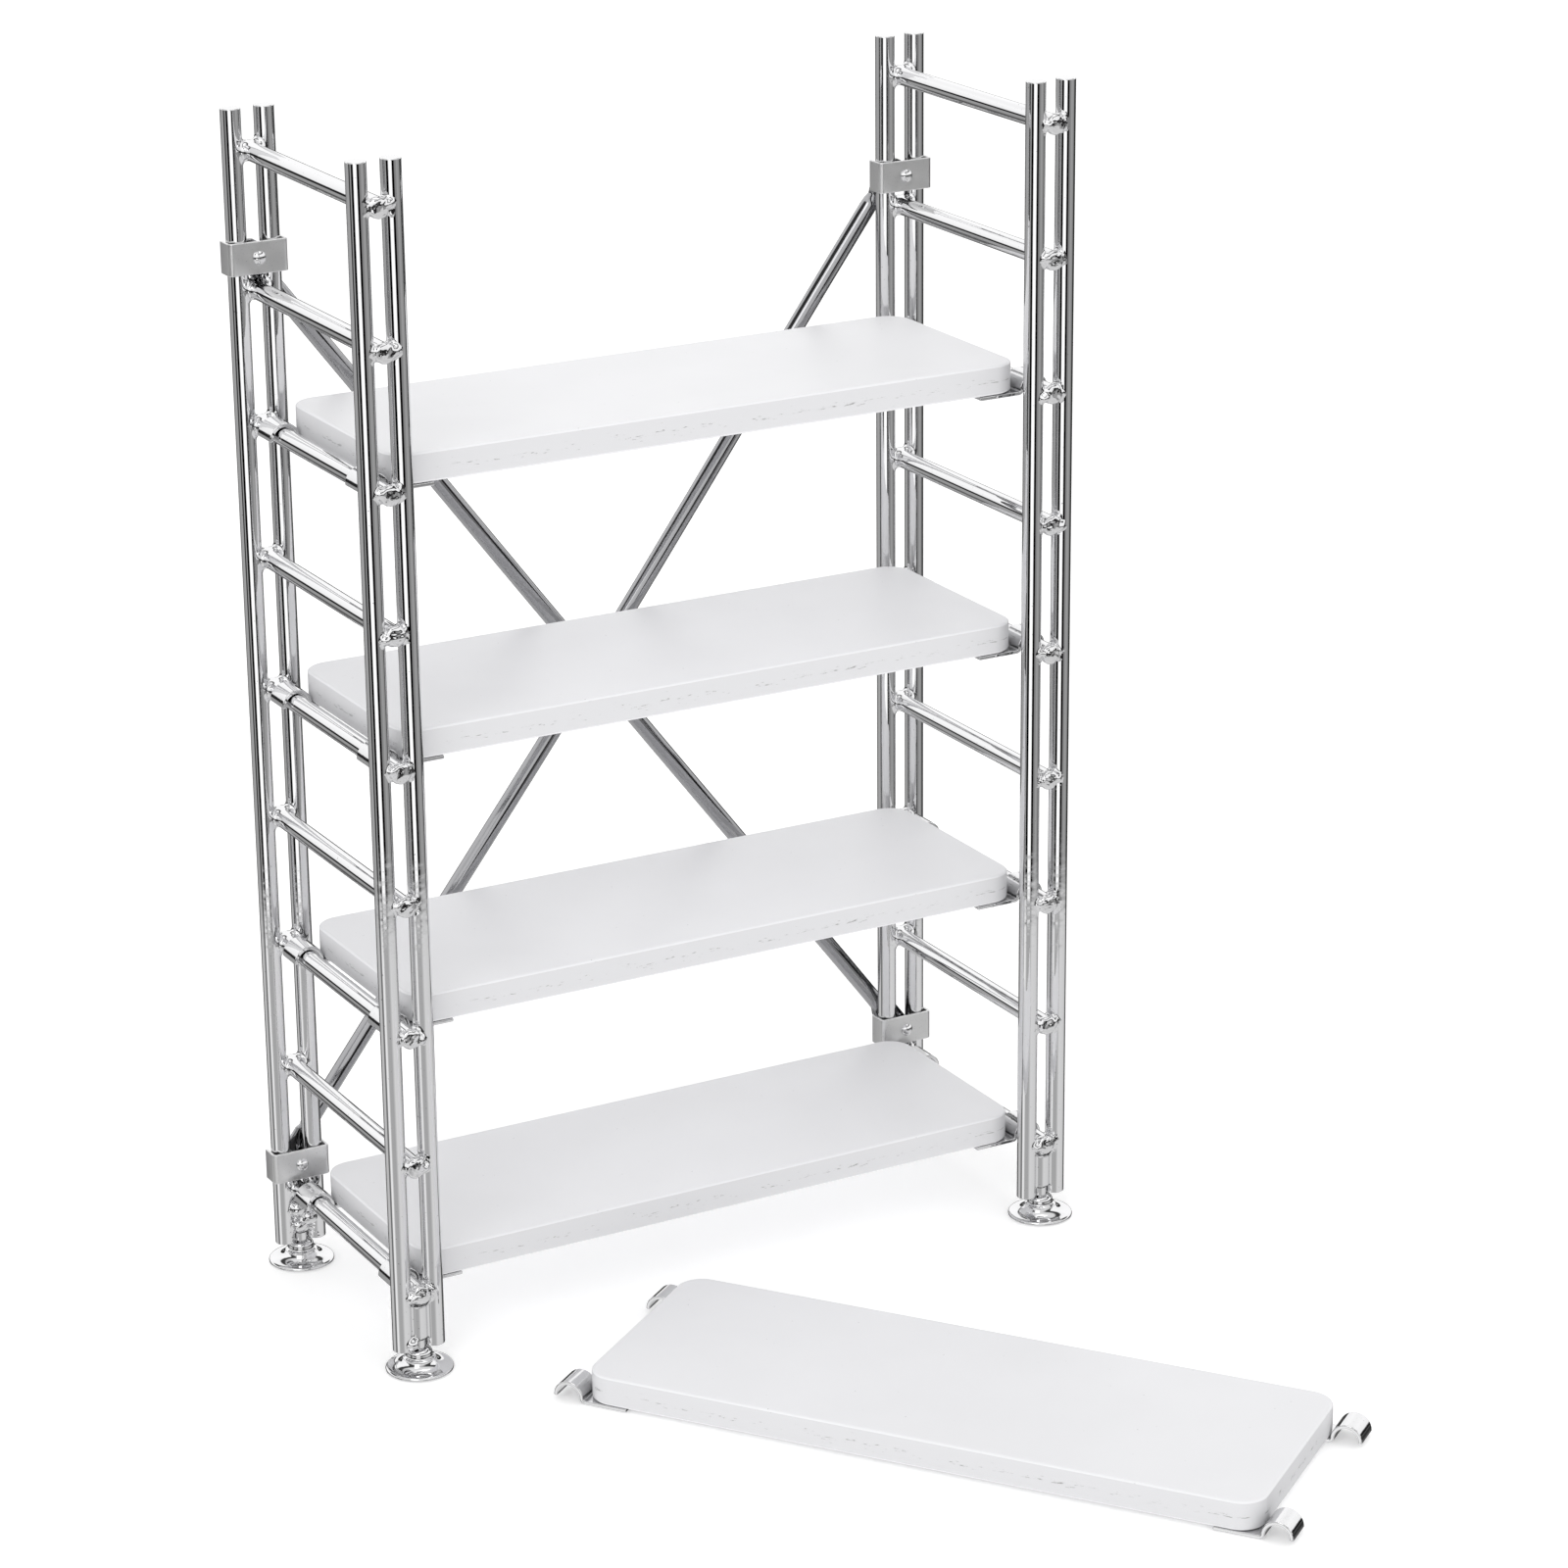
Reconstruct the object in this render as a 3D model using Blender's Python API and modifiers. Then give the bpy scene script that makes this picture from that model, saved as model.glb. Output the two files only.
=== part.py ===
# A small display rack built like a baker's scaffold: two ladder end frames of twin rods,
# a riveted cross brace behind them, hook-on shelves, and screw feet.
# Metres, +Z up. The front of the rack faces -Y, and the floor is z = 0.
import math

import bmesh
import bpy
from mathutils import Matrix, Vector

# Driving dimensions
ROD_DIAMETER = 0.008
FRAME_SPACING = 0.288        # between the rungs of the two end frames, along X
POST_SPACING = 0.116         # between the front and the rear posts, along Y
TWIN_SPACING = 0.0138        # between the two rods of a post, along X
ROD_TOP = 0.482
ROD_BOTTOM = 0.0095
RACK_CENTRE_Y = 0.1384       # the rack stands behind the loose shelf, which lies in front
GAP = 0.0003                 # clearance between parts that touch

RUNG_COUNT = 9
LOWEST_RUNG = 0.033
RUNG_PITCH = 0.054
RUNG_DIAMETER = 0.0075
RUNG_FRONT_PROUD = 0.0015    # a rung's front end stands out past its post
SHELF_RUNGS = (7, 5, 3, 1)   # counted from the floor, for shelf_1 at the top to shelf_4

BOARD_LENGTH = 0.2744
BOARD_WIDTH = 0.0965
BOARD_THICKNESS = 0.012
BOARD_CORNER = 0.0105
BOARD_EDGE = 0.0009

STRIP_THICKNESS = 0.0015
HOOK_WIDTH = 0.0125
HOOK_BORE = 0.0096           # inside width of a hook's arch
HOOK_RISE = 0.001            # a rung's axis over the underside of the board that hangs on it
HOOK_SPACING = 0.0826        # between the front and the rear hooks of a shelf
TONGUE_LENGTH = 0.0184

LOOSE_SHELF_CENTRE = Vector((0.0178, -0.0623))
LOOSE_SHELF_TURN = math.radians(-53.2)

CLIP_HEIGHT = 0.0128
CLIP_DEPTH = 0.0091
CLIP_THICKNESS = 0.0012
UPPER_CLIP_ABOVE_RUNG = 0.0132
LOWER_CLIP_ABOVE_RUNG = 0.0116
UPPER_CLIP_RUNG = 8
LOWER_CLIP_RUNG = 1
RIVET_DIAMETER = 0.004
RIVET_HEAD_DIAMETER = 0.0056
RIVET_HEAD_HEIGHT = 0.0018
RIVET_TAIL_DIAMETER = 0.007
RIVET_TAIL_HEIGHT = 0.0014

BRACE_DIAMETER = 0.007
LUG_WIDTH = 0.0108
LUG_THICKNESS = 0.002
LUG_LENGTH = 0.0125          # from the rivet to the shoulder where the round bar begins

SOCKET_DIAMETER = 0.0078
SOCKET_BOTTOM = 0.0138
SOCKET_TOP = 0.0278
SOCKET_BORE_DIAMETER = 0.005
SOCKET_BORE_TOP = 0.0263
STUD_DIAMETER = 0.0044
STUD_TOP = 0.0258
FOOT_DIAMETER = 0.027

ROD_SEGMENTS = 20
RUNG_SEGMENTS = 16
CORNER_SEGMENTS = 5
ARCH_STEPS = 8
BRACE_POINTS = 11

# Worked out from the driving dimensions
ROD_RADIUS = ROD_DIAMETER / 2
RUNG_RADIUS = RUNG_DIAMETER / 2
FRONT_Y = RACK_CENTRE_Y - POST_SPACING / 2
REAR_Y = RACK_CENTRE_Y + POST_SPACING / 2
POST_BACK = REAR_Y + ROD_RADIUS + GAP
SIDES = {"left": -1, "right": 1}
ENDS = {"front": FRONT_Y, "rear": REAR_Y}

CHROME = {"color": (0.78, 0.78, 0.78), "roughness": 0.08, "metallic": 1.0}
CHROME_STRIP = {"color": (0.74, 0.74, 0.74), "roughness": 0.14, "metallic": 1.0}
CHROME_BRACE = {"color": (0.62, 0.62, 0.63), "roughness": 0.18, "metallic": 1.0}
LACQUER = {"color": (0.86, 0.86, 0.85), "roughness": 0.42, "metallic": 0.0}


def clear_scene():
    for obj in list(bpy.data.objects):
        bpy.data.objects.remove(obj, do_unlink=True)


def new_collection(name):
    collection = bpy.data.collections.new(name)
    bpy.context.scene.collection.children.link(collection)
    return collection


def new_material(name, finish):
    material = bpy.data.materials.new(name)
    material.use_nodes = True
    shader = material.node_tree.nodes["Principled BSDF"]
    shader.inputs["Base Color"].default_value = (*finish["color"], 1.0)
    shader.inputs["Roughness"].default_value = finish["roughness"]
    shader.inputs["Metallic"].default_value = finish["metallic"]
    return material


def mesh_from(name, bm, matrix=Matrix.Identity(4)):
    mesh = bpy.data.meshes.new(name)
    bm.transform(matrix)
    bm.to_mesh(mesh)
    bm.free()
    return mesh


def add_part(name, mesh, finish, location=(0, 0, 0), rotation=(0, 0, 0), parent=None):
    """A visible part: its own object, with its own material."""
    obj = bpy.data.objects.new(name, mesh)
    obj.location = location
    obj.rotation_euler = rotation
    obj.parent = parent
    mesh.shade_smooth()
    mesh.set_sharp_from_angle(angle=math.radians(40))
    obj.data.materials.clear()
    obj.data.materials.append(new_material(name, finish))
    PARTS.objects.link(obj)
    return obj


def add_cutter(name, mesh, location=(0, 0, 0), rotation=(0, 0, 0)):
    """A construction solid for a Boolean, which isn't part of the rack."""
    obj = bpy.data.objects.new(name, mesh)
    obj.location = location
    obj.rotation_euler = rotation
    obj.hide_render = True
    obj.display_type = "WIRE"
    CUTTERS.objects.link(obj)
    return obj


def boolean(obj, cutter, operation):
    modifier = obj.modifiers.new(cutter.name, "BOOLEAN")
    modifier.object = cutter
    modifier.operation = operation
    modifier.solver = "EXACT"


def rod_mesh(name, diameter, start, end, segments=ROD_SEGMENTS):
    """A round bar between two points."""
    start = Vector(start)
    end = Vector(end)
    length = (end - start).length
    turn = Vector((0, 0, 1)).rotation_difference(end - start).to_matrix().to_4x4()
    bm = bmesh.new()
    bmesh.ops.create_cone(bm, cap_ends=True, segments=segments,
                          radius1=diameter / 2, radius2=diameter / 2, depth=length)
    return mesh_from(name, bm, Matrix.Translation((start + end) / 2) @ turn)


def rung_height(number):
    """Height of a rung's axis, counted from 1 at the floor."""
    return LOWEST_RUNG + RUNG_PITCH * (number - 1)


# End frames
def add_rail(side, end):
    """One post: two rods, joined at the foot by the socket that the foot screws into."""
    x = SIDES[side] * FRAME_SPACING / 2
    y = ENDS[end]
    name = f"{side}_{end}_rail"
    outer, inner = (x - TWIN_SPACING / 2, x + TWIN_SPACING / 2)
    rail = add_part(name, rod_mesh(name, ROD_DIAMETER, (outer, y, ROD_BOTTOM), (outer, y, ROD_TOP)), CHROME)
    twin = rod_mesh("twin", ROD_DIAMETER, (inner, y, ROD_BOTTOM), (inner, y, ROD_TOP))
    socket = rod_mesh("socket", SOCKET_DIAMETER, (x, y, SOCKET_BOTTOM), (x, y, SOCKET_TOP))
    bore = rod_mesh("bore", SOCKET_BORE_DIAMETER, (x, y, SOCKET_BOTTOM - 0.002), (x, y, SOCKET_BORE_TOP), 16)
    boolean(rail, add_cutter(f"{name}_socket", socket), "UNION")
    boolean(rail, add_cutter(f"{name}_twin", twin), "UNION")
    boolean(rail, add_cutter(f"{name}_bore", bore), "DIFFERENCE")


def rod_clearance(side):
    """The four rods of an end frame, a gap wider, which cope the rungs."""
    x = SIDES[side] * FRAME_SPACING / 2
    bm = bmesh.new()
    for y in ENDS.values():
        for offset in (-TWIN_SPACING / 2, TWIN_SPACING / 2):
            place = Matrix.Translation((x + offset, y, (ROD_TOP + ROD_BOTTOM) / 2))
            bmesh.ops.create_cone(bm, cap_ends=True, segments=RUNG_SEGMENTS, matrix=place,
                                  radius1=ROD_RADIUS + GAP, radius2=ROD_RADIUS + GAP,
                                  depth=ROD_TOP - ROD_BOTTOM + 0.01)
    return add_cutter(f"{side}_rod_clearance", mesh_from("rod_clearance", bm))


def add_rung(side, number, clearance):
    """A rung from post to post, notched to sit between the twin rods."""
    x = SIDES[side] * FRAME_SPACING / 2
    z = rung_height(number)
    start = (x, FRONT_Y - ROD_RADIUS - RUNG_FRONT_PROUD, z)
    end = (x, REAR_Y + ROD_RADIUS - GAP, z)
    name = f"{side}_rung_{number}"
    rung = add_part(name, rod_mesh(name, RUNG_DIAMETER, start, end, RUNG_SEGMENTS), CHROME)
    boolean(rung, clearance, "DIFFERENCE")


# Shelves
def board_mesh():
    bm = bmesh.new()
    bmesh.ops.create_cube(bm, size=1.0)
    bmesh.ops.scale(bm, vec=(BOARD_LENGTH, BOARD_WIDTH, BOARD_THICKNESS), verts=bm.verts)
    upright = [e for e in bm.edges if abs(e.verts[0].co.z - e.verts[1].co.z) > BOARD_THICKNESS / 2]
    bmesh.ops.bevel(bm, geom=upright, offset=BOARD_CORNER, segments=CORNER_SEGMENTS, profile=0.5, affect="EDGES")
    return mesh_from("board", bm, Matrix.Translation((0, 0, BOARD_THICKNESS / 2)))


def hook_path():
    """Mid-line of a right-hand hook in X and Z, from its lip over the rung to its tongue.
    The rung's axis is at x = 0, and the board's underside is at z = 0."""
    mid = (HOOK_BORE + STRIP_THICKNESS) / 2
    arch_z = HOOK_RISE + RUNG_RADIUS + GAP - HOOK_BORE / 2
    tongue_z = -GAP - STRIP_THICKNESS / 2
    bend = arch_z - tongue_z
    points = [Vector((mid, 0, arch_z - GAP))]
    for step in range(ARCH_STEPS + 1):
        angle = math.pi * step / ARCH_STEPS
        points.append(Vector((mid * math.cos(angle), 0, arch_z + mid * math.sin(angle))))
    for step in (1, 2, 3):
        angle = math.radians(30 * step)
        points.append(Vector((-mid - bend * (1 - math.cos(angle)), 0, arch_z - bend * math.sin(angle))))
    points.append(Vector((-mid - STRIP_THICKNESS / 2 - TONGUE_LENGTH, 0, tongue_z)))
    return points


def hook_mesh(direction):
    """The mid-surface of a hook, thickened by its Solidify modifier."""
    bm = bmesh.new()
    rows = []
    for y in (-HOOK_WIDTH / 2, HOOK_WIDTH / 2):
        rows.append([bm.verts.new((direction * p.x, y, p.z)) for p in hook_path()])
    for i in range(len(rows[0]) - 1):
        bm.faces.new((rows[0][i], rows[0][i + 1], rows[1][i + 1], rows[1][i]))
    bmesh.ops.recalc_face_normals(bm, faces=bm.faces)
    return mesh_from("hook", bm)


def add_shelf(name, location, turn=0.0):
    """A board and its four hooks, on an empty at the centre of the board's underside."""
    holder = bpy.data.objects.new(f"{name}_origin", None)
    holder.location = location
    holder.rotation_euler = (0, 0, turn)
    PARTS.objects.link(holder)
    board = add_part(f"{name}_board", board_mesh(), LACQUER, parent=holder)
    eased = board.modifiers.new("eased_edges", "BEVEL")
    eased.width = BOARD_EDGE
    eased.segments = 2
    eased.limit_method = "ANGLE"
    eased.angle_limit = math.radians(50)
    for side, direction in SIDES.items():
        for end, offset in (("front", -HOOK_SPACING / 2), ("rear", HOOK_SPACING / 2)):
            place = (direction * FRAME_SPACING / 2, offset, 0)
            hook = add_part(f"{name}_hook_{side}_{end}", hook_mesh(direction), CHROME_STRIP, place, parent=holder)
            strip = hook.modifiers.new("strip", "SOLIDIFY")
            strip.thickness = STRIP_THICKNESS
            strip.offset = 0.0
            strip.use_even_offset = True


# Cross brace
def clip_height(level):
    if level == "upper":
        return rung_height(UPPER_CLIP_RUNG) + UPPER_CLIP_ABOVE_RUNG
    return rung_height(LOWER_CLIP_RUNG) + LOWER_CLIP_ABOVE_RUNG


def rivet_cutter(name, x, z):
    """A rivet turned about Y: domed head in front, shank between the rods, flat tail behind the lug."""
    front = REAR_Y - ROD_RADIUS - GAP - CLIP_THICKNESS
    tail = POST_BACK + LUG_THICKNESS + GAP
    head = RIVET_HEAD_DIAMETER / 2
    outline = [(0.0, front - RIVET_HEAD_HEIGHT)]
    for degrees in (30, 60, 80):
        angle = math.radians(degrees)
        outline.append((head * math.sin(angle), front - RIVET_HEAD_HEIGHT * math.cos(angle)))
    outline += [(head, front + CLIP_THICKNESS / 2), (RIVET_DIAMETER / 2, front + CLIP_THICKNESS / 2),
                (RIVET_DIAMETER / 2, tail), (RIVET_TAIL_DIAMETER / 2, tail),
                (RIVET_TAIL_DIAMETER / 2, tail + RIVET_TAIL_HEIGHT), (0.0, tail + RIVET_TAIL_HEIGHT)]
    bm = bmesh.new()
    verts = [bm.verts.new((radius, 0, -y)) for radius, y in outline]
    for first, second in zip(verts, verts[1:]):
        bm.edges.new((first, second))
    rivet = add_cutter(name, mesh_from(name, bm), (x, 0, z), (math.radians(90), 0, 0))
    turn_profile(rivet, 16)
    return rivet


def turn_profile(obj, steps):
    screw = obj.modifiers.new("turned", "SCREW")
    screw.steps = steps
    screw.render_steps = steps
    screw.use_merge_vertices = True
    screw.merge_threshold = 0.00005


def add_clip(side, level):
    """A channel plate across the front of a rear post, held by the rivet that carries the brace."""
    x = SIDES[side] * FRAME_SPACING / 2
    z = clip_height(level)
    front = REAR_Y - ROD_RADIUS - GAP - CLIP_THICKNESS
    half = TWIN_SPACING / 2 + ROD_RADIUS + GAP + CLIP_THICKNESS / 2
    section = [(-half, front + CLIP_DEPTH), (-half, front + CLIP_THICKNESS / 2),
               (half, front + CLIP_THICKNESS / 2), (half, front + CLIP_DEPTH)]
    bm = bmesh.new()
    rows = []
    for height in (-CLIP_HEIGHT / 2, CLIP_HEIGHT / 2):
        rows.append([bm.verts.new((px, py, height)) for px, py in section])
    for i in range(len(section) - 1):
        bm.faces.new((rows[0][i], rows[0][i + 1], rows[1][i + 1], rows[1][i]))
    bmesh.ops.recalc_face_normals(bm, faces=bm.faces)
    name = f"{side}_{level}_clip"
    clip = add_part(name, mesh_from(name, bm), CHROME_STRIP, (x, 0, z))
    plate = clip.modifiers.new("plate", "SOLIDIFY")
    plate.thickness = CLIP_THICKNESS
    plate.offset = 0.0
    plate.use_even_offset = True
    boolean(clip, rivet_cutter(f"{name}_rivet", x, z), "UNION")


def lug_outline_mesh(name):
    """A flat lug from a 2D curve: round about the rivet, square at its shoulder."""
    curve = bpy.data.curves.new(name, "CURVE")
    curve.dimensions = "2D"
    curve.fill_mode = "BOTH"
    curve.extrude = LUG_THICKNESS / 2
    spline = curve.splines.new("POLY")
    points = [(LUG_LENGTH, LUG_WIDTH / 2)]
    for step in range(9):
        angle = math.radians(90 + 22.5 * step)
        points.append((LUG_WIDTH / 2 * math.cos(angle), LUG_WIDTH / 2 * math.sin(angle)))
    points.append((LUG_LENGTH, -LUG_WIDTH / 2))
    spline.points.add(len(points) - 1)
    for point, (px, py) in zip(spline.points, points):
        point.co = (px, py, 0, 1)
    spline.use_cyclic_u = True
    return curve_to_mesh(name, curve)


def curve_to_mesh(name, curve):
    """A curve as a closed mesh, with its caps welded on."""
    obj = bpy.data.objects.new(f"{name}_curve", curve)
    CUTTERS.objects.link(obj)
    bpy.context.view_layer.update()
    evaluated = obj.evaluated_get(bpy.context.evaluated_depsgraph_get())
    mesh = bpy.data.meshes.new_from_object(evaluated)
    bpy.data.objects.remove(obj, do_unlink=True)
    bm = bmesh.new()
    bm.from_mesh(mesh)
    bmesh.ops.remove_doubles(bm, verts=bm.verts, dist=0.00001)
    bmesh.ops.recalc_face_normals(bm, faces=bm.faces)
    bm.to_mesh(mesh)
    bm.free()
    return mesh


def add_brace(name, direction, bow):
    """A round bar from an upper clip down to the opposite lower clip, flattened to a lug at each
    end. It bows forward or back in the middle to pass the other brace."""
    top = Vector((-direction * FRAME_SPACING / 2, 0, clip_height("upper")))
    foot = Vector((direction * FRAME_SPACING / 2, 0, clip_height("lower")))
    along = (foot - top).normalized()
    length = (foot - top).length
    axis_y = POST_BACK + BRACE_DIAMETER / 2
    curve = bpy.data.curves.new(name, "CURVE")
    curve.dimensions = "3D"
    curve.bevel_depth = BRACE_DIAMETER / 2
    curve.bevel_resolution = 3
    curve.use_fill_caps = True
    spline = curve.splines.new("POLY")
    spline.points.add(BRACE_POINTS - 1)
    inset = LUG_LENGTH - LUG_THICKNESS
    for i, point in enumerate(spline.points):
        distance = inset + (length - 2 * inset) * i / (BRACE_POINTS - 1)
        place = top + along * distance
        place.y = axis_y + bow * math.sin(math.pi * distance / length) ** 2
        point.co = (*place, 1)
    brace = add_part(name, curve_to_mesh(name, curve), CHROME_BRACE)
    for end, centre, heading in (("upper", top, along), ("lower", foot, -along)):
        turn = Vector((1, 0)).angle_signed(Vector((heading.x, heading.z)))
        place = (centre.x, POST_BACK + LUG_THICKNESS / 2, centre.z)
        lug = add_cutter(f"{name}_{end}_lug", lug_outline_mesh("lug"), place)
        lug.rotation_euler = (math.radians(90), turn, 0)
        hole = rod_mesh("hole", RIVET_DIAMETER + 2 * GAP, (centre.x, POST_BACK - 0.001, centre.z),
                        (centre.x, POST_BACK + LUG_THICKNESS + 0.001, centre.z), 16)
        boolean(brace, lug, "UNION")
        boolean(brace, add_cutter(f"{name}_{end}_hole", hole), "DIFFERENCE")


# Feet
def foot_outline():
    """Radius and height of a screw foot, from the top of its stud to the floor."""
    disc = FOOT_DIAMETER / 2
    return [(0.0, STUD_TOP), (STUD_DIAMETER / 2 - 0.0005, STUD_TOP), (STUD_DIAMETER / 2, STUD_TOP - 0.0006),
            (STUD_DIAMETER / 2, 0.0129), (0.0026, 0.0129), (0.0026, 0.0088), (0.0046, 0.0084),
            (0.0052, 0.0072), (0.0052, 0.0060), (0.0066, 0.0052), (0.0066, 0.0044),
            (disc - 0.0016, 0.0030), (disc, 0.0022), (disc, 0.0004), (disc - 0.0005, 0.0), (0.0, 0.0)]


def add_foot(side, end):
    """A round pad with a stepped hub and a stud, turned about the post's axis."""
    name = f"{side}_{end}_foot"
    bm = bmesh.new()
    verts = [bm.verts.new((radius, 0, height)) for radius, height in foot_outline()]
    for first, second in zip(verts, verts[1:]):
        bm.edges.new((first, second))
    place = (SIDES[side] * FRAME_SPACING / 2, ENDS[end], 0)
    foot = add_part(name, mesh_from(name, bm), CHROME, place)
    turn_profile(foot, ROD_SEGMENTS)


def build():
    for side in SIDES:
        for end in ENDS:
            add_rail(side, end)
            add_foot(side, end)
        clearance = rod_clearance(side)
        for number in range(1, RUNG_COUNT + 1):
            add_rung(side, number, clearance)
        for level in ("upper", "lower"):
            add_clip(side, level)
    passing = (BRACE_DIAMETER + GAP) / 2
    add_brace("front_brace", -1, -passing)
    add_brace("rear_brace", 1, passing)
    for index, rung in enumerate(SHELF_RUNGS):
        add_shelf(f"shelf_{index + 1}", (0, RACK_CENTRE_Y, rung_height(rung) - HOOK_RISE))
    resting = GAP + STRIP_THICKNESS
    add_shelf("loose_shelf", (*LOOSE_SHELF_CENTRE, resting), LOOSE_SHELF_TURN)


clear_scene()
PARTS = new_collection("baker_scaffold_rack")
CUTTERS = new_collection("construction")
build()
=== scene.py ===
# A small chrome display rack built like a baker's scaffold: its looks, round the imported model.
# Metres, +Z up. The front of the rack faces -Y, and the floor is z = 0.
import math

import bpy
import numpy as np
from mathutils import Matrix, Quaternion, Vector


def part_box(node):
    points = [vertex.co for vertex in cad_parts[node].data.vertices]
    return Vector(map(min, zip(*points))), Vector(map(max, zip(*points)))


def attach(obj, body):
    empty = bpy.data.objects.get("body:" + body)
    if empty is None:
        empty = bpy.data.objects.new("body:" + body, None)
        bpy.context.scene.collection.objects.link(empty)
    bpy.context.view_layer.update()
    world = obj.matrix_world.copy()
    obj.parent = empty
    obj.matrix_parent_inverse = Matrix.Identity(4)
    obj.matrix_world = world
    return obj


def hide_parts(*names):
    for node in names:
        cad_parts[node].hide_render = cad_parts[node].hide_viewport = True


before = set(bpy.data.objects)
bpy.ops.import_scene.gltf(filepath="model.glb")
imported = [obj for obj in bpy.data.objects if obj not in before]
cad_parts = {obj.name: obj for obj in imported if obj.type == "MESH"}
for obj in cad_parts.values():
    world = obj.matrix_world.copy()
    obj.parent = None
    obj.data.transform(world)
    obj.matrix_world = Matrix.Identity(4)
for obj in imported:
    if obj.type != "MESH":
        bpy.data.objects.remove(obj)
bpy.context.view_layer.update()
print("packed model loaded")

mm = 0.001
gap = 0.3 * mm  # clearance between parts that touch
sides = {"left": -1, "right": 1}
ends = {"front": -1, "rear": 1}
xAxis, yAxis, zAxis = Vector((1, 0, 0)), Vector((0, 1, 0)), Vector((0, 0, 1))


# Mesh helpers
def circle(steps, radius=1.0):
    turn = [2 * math.pi * i / steps for i in range(steps)]
    return [(radius * math.cos(a), radius * math.sin(a)) for a in turn]


def roundedBox(width, height, radius, steps=4):  # the outline of a box with round corners
    points = []
    for index, (cx, cy) in enumerate(((1, 1), (-1, 1), (-1, -1), (1, -1))):
        for step in range(steps + 1):
            angle = math.pi / 2 * (index + step / steps)
            points.append((cx * (width / 2 - radius) + radius * math.cos(angle),
                           cy * (height / 2 - radius) + radius * math.sin(angle)))
    return points


def ring(centre, across, up, outline):
    return [centre + across * a + up * b for a, b in outline]


def loft(name, *runs):  # each run is a list of rings, joined in order and capped at both ends
    verts, faces = [], []
    for rings in runs:
        count, start = len(rings[0]), len(verts)
        for points in rings:
            verts.extend(points)
        for r in range(len(rings) - 1):
            a, b = start + r * count, start + (r + 1) * count
            faces += [(a + i, a + (i + 1) % count, b + (i + 1) % count, b + i) for i in range(count)]
        faces.append(tuple(start + i for i in reversed(range(count))))
        faces.append(tuple(start + (len(rings) - 1) * count + i for i in range(count)))
    mesh = bpy.data.meshes.new(name)
    mesh.from_pydata(verts, [], faces)
    mesh.validate()
    return mesh


def turned(foot, axis, outline, steps=48):  # rings; the outline is (radius, distance along)
    axis = Vector(axis).normalized()
    across = axis.orthogonal().normalized()
    up = axis.cross(across)
    return [ring(Vector(foot) + axis * along, across, up, circle(steps, radius))
            for radius, along in outline]


def barOutline(radius, length, ease):  # a cut bar: flat ends with an eased rim
    rim = [(radius - ease + ease * math.sin(a), ease - ease * math.cos(a))
           for a in np.linspace(0, math.pi / 2, 5)]
    rim.insert(0, (radius - ease * 1.6, 0.0))
    return rim + [(r, length - along) for r, along in reversed(rim)]


def addPiece(name, mesh, body, material, hides=(), matrix=None, sharp=38):
    piece = bpy.data.objects.new(name, mesh)
    bpy.context.scene.collection.objects.link(piece)
    mesh.materials.append(material)
    if sharp:
        mesh.shade_smooth()
        mesh.set_sharp_from_angle(angle=math.radians(sharp))
        # Long smooth faces would otherwise shade as if they were bent
        piece.modifiers.new("weighted_normals", "WEIGHTED_NORMAL").keep_sharp = True
    if matrix is not None:
        piece.matrix_world = matrix
    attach(piece, body)
    if hides:
        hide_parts(*hides)
    return piece


def skinOf(name, field, low, high, step):  # a closed mesh where field is 0, with its own smooth normals
    low, high = np.array(low, float), np.array(high, float)
    counts = np.ceil((high - low) / step).astype(int) + 1
    places = np.meshgrid(*[low[k] + step * np.arange(counts[k]) for k in range(3)], indexing="ij")
    values = field(*places)
    total, hits, around, outward = np.zeros((*counts, 3)), np.zeros(counts), [], []
    for a in range(3):
        near = values[tuple(slice(0, -1) if k == a else slice(None) for k in range(3))]
        far = values[tuple(slice(1, None) if k == a else slice(None) for k in range(3))]
        at = np.argwhere((near < 0) != (far < 0))
        v0, v1 = near[tuple(at.T)], far[tuple(at.T)]
        cross = low + step * at
        cross[:, a] += step * v0 / (v0 - v1)
        corners = []
        for db, dc in ((0, 0), (1, 0), (1, 1), (0, 1)):
            cell = at.copy()
            cell[:, (a + 1) % 3] -= db
            cell[:, (a + 2) % 3] -= dc
            np.add.at(total, tuple(cell.T), cross)
            np.add.at(hits, tuple(cell.T), 1)
            corners.append(np.ravel_multi_index(cell.T, counts))
        around.append(np.stack(corners, 1))
        outward.append(v0 < 0)
    used = np.flatnonzero(hits.ravel())
    points = (total.reshape(-1, 3)[used] / hits.ravel()[used, None])
    number = np.full(hits.size, -1)
    number[used] = np.arange(len(used))
    quads = number[np.concatenate(around)]
    flip = ~np.concatenate(outward)
    quads[flip] = quads[flip][:, ::-1]

    def slope(p):
        d = step * 0.05
        parts = [field(*(p + d * e).T) - field(*(p - d * e).T) for e in np.eye(3)]
        return np.stack(parts, 1) / (2 * d)
    for _ in range(3):
        g = slope(points)
        points = points - g * (field(*points.T) / np.maximum((g * g).sum(1), 1e-6))[:, None] * 0.9
    normals = slope(points)
    normals /= np.maximum(np.linalg.norm(normals, axis=1), 1e-9)[:, None]
    mesh = bpy.data.meshes.new(name)
    mesh.from_pydata(points.tolist(), [], quads.tolist())
    mesh.shade_smooth()
    mesh.normals_split_custom_set_from_vertices(normals.tolist())
    return mesh


# Materials
def linearOf(hexColour):  # "#D4D4D6" in sRGB to linear
    parts = [int(hexColour[i:i + 2], 16) / 255 for i in (1, 3, 5)]
    return (*[p / 12.92 if p <= 0.04045 else ((p + 0.055) / 1.055) ** 2.4 for p in parts], 1.0)


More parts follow.
